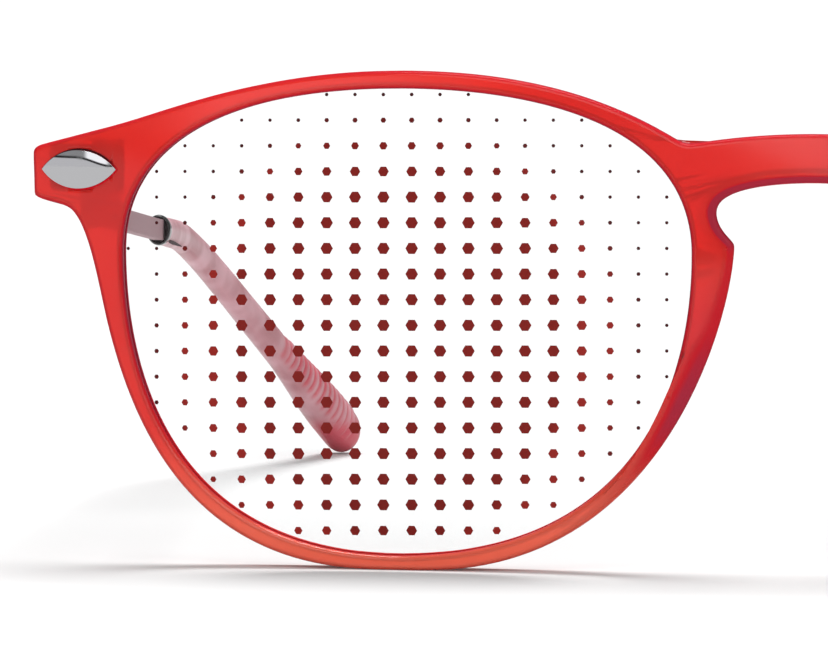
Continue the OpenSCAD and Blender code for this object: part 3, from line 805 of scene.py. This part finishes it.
# %% Lay the band
def copied_inwards(bm, chain, width_of):
    """Copies a chain of outline edges into the face and returns the new edges."""
    ways = {}
    for edge in chain:
        face = edge.link_faces[0]
        run = edge.verts[1].co - edge.verts[0].co
        out = (edge.verts[0].co - FACE_BALL).normalized()
        way = out.cross(run).normalized()
        if way.dot(face.calc_center_median() - edge.verts[0].co) > 0:
            way.negate()
        for v in edge.verts:
            ways[v] = ways.get(v, Vector()) + way
    places = {v: v.co + way.normalized() * width_of(v) * MM for v, way in ways.items()}
    kept = [(v.co.copy(), places[v]) for v in ways]
    fresh = bmesh.ops.extrude_edge_only(bm, edges=chain)["geom"]
    for v in fresh:
        if isinstance(v, bmesh.types.BMVert):
            target = min(kept, key=lambda pair: (pair[0] - v.co).length_squared)[1]
            v.co = FACE_BALL + (target - FACE_BALL).normalized() * FACE_R
    added = [e for e in fresh if isinstance(e, bmesh.types.BMEdge)]
    return [e for e in added if not any(v in ways for v in e.verts)]


wall_shade = bm.verts.layers.float.new("wall")
chain = [e for e in outer_outline(bm) if all(map(beside_nose_at, e.verts))]
full = copied_inwards(bm, chain, lambda v: band_at(v)[1])
for v in {v for e in chain + full for v in e.verts}:
    v[wall_shade] = band_at(v)[0]
ended = copied_inwards(bm, full, lambda v: band_at(v)[2] - band_at(v)[1])
for v in {v for e in ended for v in e.verts}:
    v[wall_shade] = 0
print("band beside the nose:", len(chain), "edges long")

# %% [markdown]
# The new face is one flat filling, so it is cut into squares of four millimetres
# and each new point is moved out onto the ball. The old back is cut the same way.
# The cuts also leave points on the face's outline, beside the rounded edge, where
# they would show as notches. Each of these goes back to the nearest old one.

# %% Fill the face
GRID, LAST_LINE = 4 * MM, 16


def cut_in_squares(bm, flat, ball_r):
    """Cuts a flat sheet in squares on a ball. Returns the new points on its outline."""
    old = {v for v in bm.verts if flat(v)}
    for line in range(-LAST_LINE, LAST_LINE + 1):
        for spot, turned in (
            ((line * GRID, 0, 0), (1, 0, 0)), ((0, 0, line * GRID), (0, 0, 1))
        ):
            sheet = [f for f in bm.faces if all(map(flat, f.verts))]
            sheet += {part for f in sheet for part in (*f.verts, *f.edges)}
            bmesh.ops.bisect_plane(
                bm, geom=sheet, dist=WELD, plane_co=spot, plane_no=turned
            )
    on_outline = []
    for v in [v for v in bm.verts if flat(v)]:
        if all(all(map(flat, f.verts)) for f in v.link_faces):
            v.co = FACE_BALL + (v.co - FACE_BALL).normalized() * ball_r
        elif v not in old:
            on_outline.append(v)
    return on_outline


def faulty(bm):
    return sum(len(e.link_faces) != 2 for e in bm.edges)


bmesh.ops.triangle_fill(bm, edges=face_outline(bm), use_beauty=True, normal=(0, -1, 0))
print("edges without two faces once filled:", faulty(bm))
old_corners = [v for v in bm.verts if on_face(v)]
corners_at = KDTree(len(old_corners))
for index, v in enumerate(old_corners):
    corners_at.insert(v.co, index)
corners_at.balance()
new_corners = cut_in_squares(bm, on_face, FACE_R)
back_to = {v: old_corners[corners_at.find(v.co)[1]] for v in new_corners}
bmesh.ops.weld_verts(bm, targetmap=back_to)
print(len(back_to), "points on the face's outline put back")
cut_in_squares(bm, on_back, FACE_R - FRONT_T)
bmesh.ops.dissolve_degenerate(bm, dist=WELD, edges=bm.edges)
print("edges without two faces at last:", faulty(bm))
bmesh.ops.recalc_face_normals(bm, faces=bm.faces)

# %% [markdown]
# Now each point gets its share of wall, which is its share of painted shade. On the
# eyes' own walls it grows with depth, from the face to full wine red. Round the
# outside it stays at the crimson half until it turns behind the edge. Low down, where
# light comes up from the table, all walls are painted lighter, as painted light.

# %% Mark the walls and finish the front
KEYHOLE_X = 9.5 * MM
LIGHT_BELOW, FULL_ABOVE = mm(5, 22)
EYE_WALL_FULL, EDGE_FULL, BACK_EDGE = mm(0.6, 0.12, 0.1)
BEHIND_EDGE = mm(0.38, 0.7)
LOW_TONE, TONE_RISE, BACK_TONE = 0.2, 0.3, 0.3


def eased(value, start, end):
    """0 before start, 1 after end, and smooth between them, for plain numbers."""
    share = min(1, max(0, (value - start) / (end - start)))
    return share * share * (3 - 2 * share)


for v in bm.verts:
    depth = depth_of(v)
    on_wall = FLAT_SLACK < depth < FRONT_T - FLAT_SLACK
    if not (on_wall or (depth > FRONT_T and beside_nose_at(v))):
        continue
    # Painted light from the table: low down the painted wall shade is weaker.
    up_there = eased(v.co.z, LIGHT_BELOW, FULL_ABOVE)
    edge_tone = LOW_TONE + TONE_RISE * up_there
    from_lens = Vector((abs(v.co.x) - LENS_MIDDLE.x, 0, v.co.z - LENS_MIDDLE.z))
    outward = Vector((v.normal.x * (1 if v.co.x > 0 else -1), 0, v.normal.z))
    if abs(v.co.x) > KEYHOLE_X and outward.dot(from_lens) < 0:
        v[wall_shade] = min(1, 0.4 * up_there + depth / EYE_WALL_FULL)
        v[wall_shade] *= 0.5 + 0.5 * up_there
    elif beside_nose_at(v):
        share = max(edge_tone, band_at(v)[0])
        v[wall_shade] = share if depth < FRONT_T - BACK_EDGE else BACK_TONE
    else:
        v[wall_shade] = edge_tone * min(1, depth / EDGE_FULL)
        v[wall_shade] += 0.5 * up_there * eased(depth, *BEHIND_EDGE)
front = new_piece(
    "front_moulding", bm, red_plastic, "front", ["front_frame"], 50,
)
shade_as_ball(front, FACE_BALL)
print("front", len(front.data.polygons), "faces")

# %% [markdown]
# ## Lenses and their print
#
# Each dot has to lie on the curved face of its lens, so a ray is cast from the
# front at each grid place, and the dot is turned to the face that it hits. A ray
# that meets the rim first gives no dot. A printed pattern in the lens's shader
# would be simpler, but its edges would blur.

# %% Finish the lenses
for hand in SIDES:
    blank = new_piece(
        f"{hand}_lens_blank", welded(f"{hand}_lens"), clear_lens, "front",
        [f"{hand}_lens"], 25,
    )
    print(blank.name, len(blank.data.polygons), "faces")

# %% Find a place for each dot
PICTURE = (828, 662)
PITCH, FIRST_DOT = (28.34, 25.65), (128.3, 94.5)
COLUMNS, ROWS = 21, 19
FIELD, FIELD_END, FIELD_FADE = (397, 351), 270, 124
SMALLEST, GROWTH = 0.16, 0.388


def surface_of(solid_name):
    bm = welded(solid_name)
    surface = BVHTree.FromBMesh(bm)
    bm.free()
    return surface


def sight_line(across, down):
    """Direction from the camera through a place in the picture."""
    focal = camera_data.lens / camera_data.sensor_width * PICTURE[0]
    ray = Vector((across - PICTURE[0] / 2, PICTURE[1] / 2 - down, -focal))
    return (camera.rotation_euler.to_matrix() @ ray).normalized()


def dot_size(across, down):
    """Big in the middle of the field and small towards the rim, in millimetres."""
    away = sqrt((across - FIELD[0]) ** 2 + (down - FIELD[1]) ** 2)
    return SMALLEST + GROWTH * eased(FIELD_END - away, 0, FIELD_FADE)


rims, glass = surface_of("front_frame"), surface_of("right_lens")
eye = camera.location
spots = []
for column in range(COLUMNS):
    for row in range(ROWS):
        place = (FIRST_DOT[0] + column * PITCH[0], FIRST_DOT[1] + row * PITCH[1])
        radius = dot_size(*place) * MM
        spot, normal, _, _ = glass.ray_cast(eye, sight_line(*place))
        points = ((radius, 0), (-radius, 0), (0, radius), (0, -radius))
        reach = [Vector((x, 0, z)) for x, z in points]
        if spot is None or any(rims.ray_cast(eye, spot + r - eye)[0] for r in reach):
            continue
        spots.append((spot, normal, radius))
print(len(spots), "dots clear of the rim")

# %% Print the dots
INK, SUNK = 0.012 * MM, 0.3
SMALL_DOT = mm(0.16, 0.34)

for hand, side in SIDES.items():
    bm = bmesh.new()
    small = bm.verts.layers.float.new("small")
    for spot, normal, radius in spots:
        spot = Vector((spot.x * -side, spot.y, spot.z))
        normal = Vector((normal.x * -side, normal.y, normal.z))
        turn = normal.to_track_quat("Z", "Y").to_matrix().to_4x4()
        turn = turn @ Matrix.Rotation(radians(30), 4, "Z")
        made = bmesh.ops.create_circle(
            bm, cap_ends=True, segments=6, radius=radius,
            matrix=Matrix.Translation(spot - normal * INK * SUNK) @ turn,
        )
        cap = made["verts"][0].link_faces[0]
        raised = bmesh.ops.extrude_face_region(bm, geom=[cap])
        tops = [v for v in raised["geom"] if isinstance(v, bmesh.types.BMVert)]
        bmesh.ops.translate(bm, verts=tops, vec=normal * INK * (1 + SUNK))
        for v in (*made["verts"], *tops):
            v[small] = 1 - eased(radius, *SMALL_DOT)
    bmesh.ops.recalc_face_normals(bm, faces=bm.faces)
    new_piece(f"{hand}_lens_dots", bm, ink, "front")
    print(hand, "lens:", len(spots), "dots")

# %% [markdown]
# ## Plaques, hinges and arms
#
# These are small metal parts with turned or stamped forms. A bevel of less than a
# tenth of a millimetre is enough to give each edge its bright line. The plaque's
# seat could be a groove in the front, but a thin strip laid on the face, which
# carries the seat's painted light and shade, keeps its even width round the whole
# oval. The plaque's own outline gives it its form.

# %% Lay the seats of the plaques
PLAQUE_AT = Vector((63 * MM, low.y + (8.404 - 0.126) * MM, 34.05 * MM))
END_TURN = radians(14.596)
PLAQUE_DOME, PLAQUE_UP = 16 * MM, 0.55 * MM
SEAT_LIFT, SEAT_DEEP, SEAT_GROWTH = 0.03 * MM, 0.05 * MM, (1.03, 1, 1.085)


def plaque_seat_shade(hand, middle, inward):
    """The thin line of painted shade round a plaque: its own outline, widened and laid on
    the face.
    """
    bm = welded(f"{hand}_plaque")
    outward = (middle - FACE_BALL).normalized()
    bmesh.ops.bisect_plane(
        bm, geom=bm.verts[:] + bm.edges[:] + bm.faces[:], dist=WELD,
        plane_co=middle + outward * SEAT_LIFT, plane_no=outward,
        clear_inner=True, clear_outer=True,
    )
    grown = bmesh.ops.extrude_edge_only(bm, edges=bm.edges)["geom"]
    rim = [v for v in grown if isinstance(v, bmesh.types.BMVert)]
    turn = Vector((0, 1, 0)).rotation_difference(inward).to_matrix().to_4x4()
    frame_of_plaque = (Matrix.Translation(middle) @ turn).inverted()
    bmesh.ops.scale(bm, vec=SEAT_GROWTH, space=frame_of_plaque, verts=rim)
    bmesh.ops.recalc_face_normals(bm, faces=bm.faces)
    if sum((f.normal * f.calc_area() for f in bm.faces), Vector()).dot(outward) < 0:
        bmesh.ops.reverse_faces(bm, faces=bm.faces)
    bmesh.ops.solidify(bm, geom=bm.faces, thickness=SEAT_DEEP)
    new_piece(f"{hand}_plaque_seat_shade", bm, seat_shadow, "front")


# %% Finish the metal parts
for hand, side in SIDES.items():
    plaque = softened(
        f"{hand}_plaque", f"{hand}_oval_plaque", 0.08, plaque_metal,
        "front", "plaque_metal",
    )
    plaque.modifiers.clear()
    middle = Vector((PLAQUE_AT.x * side, PLAQUE_AT.y, PLAQUE_AT.z))
    inward = Vector((-sin(END_TURN) * side, cos(END_TURN), 0))
    dome_centre = middle + inward * (PLAQUE_DOME - PLAQUE_UP)
    shade_as_ball(plaque, dome_centre, fit=4.0, blend=12.0)
    plaque_seat_shade(hand, middle, inward)
    temple = f"{hand}_temple"
    for solid, name, edge_mm, sharp, finish, body, slot in (
        ("front_hinge", "hinge_plate", 0.07, 35, hinge_steel, "front", "hinge_steel"),
        ("hinge_screw", "slotted_screw", 0.05, 35, screw_steel, "front", "screw_steel"),
        ("temple_hinge", "hinge_strap", 0.07, 35, hinge_steel, temple, "hinge_steel"),
        ("temple_arm", "flat_arm", 0.12, 40, arm_metal, temple, "arm_metal"),
        ("fore_rivet", "fore_rivet_head", 0.1, 35, screw_steel, temple, "screw_steel"),
        ("rear_rivet", "rear_rivet_head", 0.1, 35, screw_steel, temple, "screw_steel"),
    ):
        names = (f"{hand}_{solid}", f"{hand}_{name}")
        softened(*names, edge_mm, finish, body, slot, sharp)

# %% [markdown]
# ## Rings and sleeves
#
# Ring and sleeve are round, soft forms. Their solids are built from a few rings of
# points, which are turned back into four-sided faces here, because only those
# subdivide into a smooth skin.


# %% Round off a solid
def rounded(solid_name, name, finish, body, hold_angle, hold):
    """A subdivided copy of a solid. Corners over hold_angle keep part of their edge."""
    bm = welded(solid_name)
    bmesh.ops.join_triangles(
        bm, faces=bm.faces,
        angle_face_threshold=radians(60), angle_shape_threshold=radians(60),
    )
    crease = bm.edges.layers.float.new("crease_edge")
    for edge in corners(bm, hold_angle):
        edge[crease] = hold
    piece = new_piece(name, bm, finish, body, [solid_name], 60)
    smooth = piece.modifiers.new("smooth", "SUBSURF")
    smooth.levels = smooth.render_levels = 2
    return piece


# %% [markdown]
# Seen from the front, the arm goes into a black socket in the ring. A dished plate
# just behind the ring's lip closes the gap round the arm.

# %% Finish the rings and close their sockets
ARM_SLOPE = radians(3.8)
RUN_DIR = Vector((0, cos(ARM_SLOPE), -sin(ARM_SLOPE)))
SOCKET_HALF, SOCKET_LIP, SOCKET_T = mm(1.0, 1.32), 0.45 * MM, 0.15 * MM
SOCKET_INSETS = mm(0.25, 0.2)


def socket_plate(hand):
    ends = [Vector(corner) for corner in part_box(f"{hand}_ferrule")]
    middle = (ends[0] + ends[1]) / 2 - RUN_DIR * SOCKET_LIP
    turn = RUN_DIR.to_track_quat("Z", "Y").to_matrix().to_4x4()
    bm = bmesh.new()
    bmesh.ops.create_circle(bm, cap_ends=True, segments=32, radius=1)
    bmesh.ops.scale(bm, vec=(*SOCKET_HALF, 1), verts=bm.verts)
    for inset in SOCKET_INSETS:
        middle_face = max(bm.faces, key=lambda f: len(f.verts))
        bmesh.ops.inset_region(
            bm, faces=[middle_face], thickness=inset, depth=inset * 0.5
        )
    bmesh.ops.solidify(bm, geom=bm.faces, thickness=SOCKET_T)
    bmesh.ops.transform(bm, matrix=Matrix.Translation(middle) @ turn, verts=bm.verts)
    bmesh.ops.recalc_face_normals(bm, faces=bm.faces)
    new_piece(
        f"{hand}_ring_socket", bm, ring_metal, f"{hand}_temple", (), 50
    )


for hand in SIDES:
    ring = rounded(
        f"{hand}_ferrule", f"{hand}_dark_ring", ring_metal, f"{hand}_temple",
        50, 0.35,
    )
    socket_plate(hand)
    print(ring.name, "and its socket plate")

# %% [markdown]
# The grip's ribs are rings round the straight end of the sleeve, raised on the side
# that lies against the head. Bump in the shader would leave the outline smooth, so
# the subdivided solid is taken as a real mesh, and each point is moved out or in by
# how far along the grip and on which side it lies. The grooves are marked as deep,
# for their painted shade. So is the end of the sleeve, by height above its lowest
# point, for its painted red.

# %% Rib the sleeves
GRIP_START = Vector((55.071, 51.190, 11.700)) * MM
TIP_DROP, TIP_IN = radians(27.3), radians(17.2)
RIB_PITCH, RIBS, RIBS_FROM, RIBS_FADE = 1.34 * MM, 15, -1.5 * MM, 0.6 * MM
GROOVE, CREST = 0.13 * MM, 0.04 * MM
GRIP_MIDDLE, GRIP_SIDE = radians(172), (0.3, 0.72)
CORE_REACH = 1.2 * MM
END_FULL, END_GONE = 2.4 * MM, 4.6 * MM


def grip_axes(side):
    """Where the grip starts, which way it runs, and the way to the head."""
    level = cos(TIP_DROP)
    along = Vector((-sin(TIP_IN) * level * side, cos(TIP_IN) * level, -sin(TIP_DROP)))
    outside = along.cross(Vector((0, 0, 1))).normalized() * side
    above = (outside * side).cross(along)
    to_head = outside * cos(GRIP_MIDDLE) + above * sin(GRIP_MIDDLE)
    return Vector((GRIP_START.x * side, GRIP_START.y, GRIP_START.z)), along, to_head


def ribbed(piece, side):
    """Makes the subdivided sleeve real, ribs its grip and marks its deep places."""
    graph = bpy.context.evaluated_depsgraph_get()
    mesh = bpy.data.meshes.new_from_object(piece.evaluated_get(graph))
    piece.modifiers.clear()
    piece.data = mesh
    start, along, to_head = grip_axes(side)
    ribs_to = RIBS_FROM + RIBS * RIB_PITCH
    lowest = min(v.co.z for v in mesh.vertices)
    deep = mesh.attributes.new("deep", "FLOAT", "POINT")
    for v, mark in zip(mesh.vertices, deep.data):
        reach = (v.co - start).dot(along)
        out = v.co - start - along * reach
        if out.length < CORE_REACH:
            continue
        out.normalize()
        gripped = eased(out.dot(to_head), *GRIP_SIDE)
        gripped *= eased(reach, RIBS_FROM - RIBS_FADE, RIBS_FROM)
        gripped *= 1 - eased(reach, ribs_to, ribs_to + RIBS_FADE)
        crest = sin(pi * ((reach - RIBS_FROM) % RIB_PITCH) / RIB_PITCH) ** 0.8
        v.co += out * gripped * (crest * (GROOVE + CREST) - GROOVE)
        in_end = 1 - eased(v.co.z - lowest, END_FULL, END_GONE)
        mark.value = max(gripped * (1 - crest) ** 0.6, in_end)
    mesh.update()


for hand, side in SIDES.items():
    sleeve = rounded(
        f"{hand}_sleeve", f"{hand}_ear_sleeve", sleeve_plastic, f"{hand}_temple",
        70, 0.6,
    )
    ribbed(sleeve, side)
    print(sleeve.name, len(sleeve.data.polygons), "faces")

# %% [markdown]
# Behind the ring, a narrow dark slit runs along the underside of each sleeve, where
# the soft plastic was pushed over the wire. Cutting it into the skin would disturb
# the smooth faces round it, so a thin spindle laid on the skin stands for it, with
# the shade inside the slit painted on it.

# %% Lay a painted slit on each sleeve
SLIT_FROM, SLIT_TO = (168.5, 240.5), (181.5, 246.0)
SLIT_HALF, SLIT_LIFT, SLIT_T, SLIT_TAIL = 0.27 * MM, 0.1 * MM, 0.05 * MM, 0.25


def slit(hand, side):
    skin = surface_of("right_sleeve")
    ends = [skin.ray_cast(eye, sight_line(*place))[0] for place in (SLIT_FROM, SLIT_TO)]
    middle = (ends[0] + ends[1]) / 2
    out = skin.find_nearest(middle)[1]
    run = ends[1] - ends[0]
    wide = out.cross(run).normalized()
    bm = bmesh.new()
    bmesh.ops.create_circle(bm, cap_ends=True, segments=24, radius=1)
    bmesh.ops.scale(bm, vec=(run.length / 2, SLIT_HALF, 1), verts=bm.verts)
    for v in bm.verts:
        v.co.y *= SLIT_TAIL + (1 - SLIT_TAIL) * (0.5 - v.co.x / run.length)
    bmesh.ops.solidify(bm, geom=bm.faces, thickness=SLIT_T)
    axes = Matrix((run.normalized(), wide, out)).transposed().to_4x4()
    place = Matrix.Translation(middle + out * SLIT_LIFT)
    bmesh.ops.transform(bm, matrix=place @ axes, verts=bm.verts)
    if side > 0:
        bmesh.ops.scale(bm, vec=(-1, 1, 1), verts=bm.verts)
    bmesh.ops.recalc_face_normals(bm, faces=bm.faces)
    new_piece(f"{hand}_sleeve_slit", bm, slit_dark, f"{hand}_temple")
    print(hand, "slit", round(run.length / MM, 2), "mm long")


for hand, side in SIDES.items():
    slit(hand, side)

# %% [markdown]
# ## Measure the size at the end
#
# Nothing that was added may make the glasses bigger. The upper corners of the box
# round the shown pieces and of the solids' box are set against each other, and the
# difference is printed.

# %% Set the two boxes against each other
shown_box = [list(corner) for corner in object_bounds()]
growth = [round((b - a) / MM, 3) for a, b in zip(cad_box[1], shown_box[1])]
print("visual box against the solids, upper corner, mm:", growth)
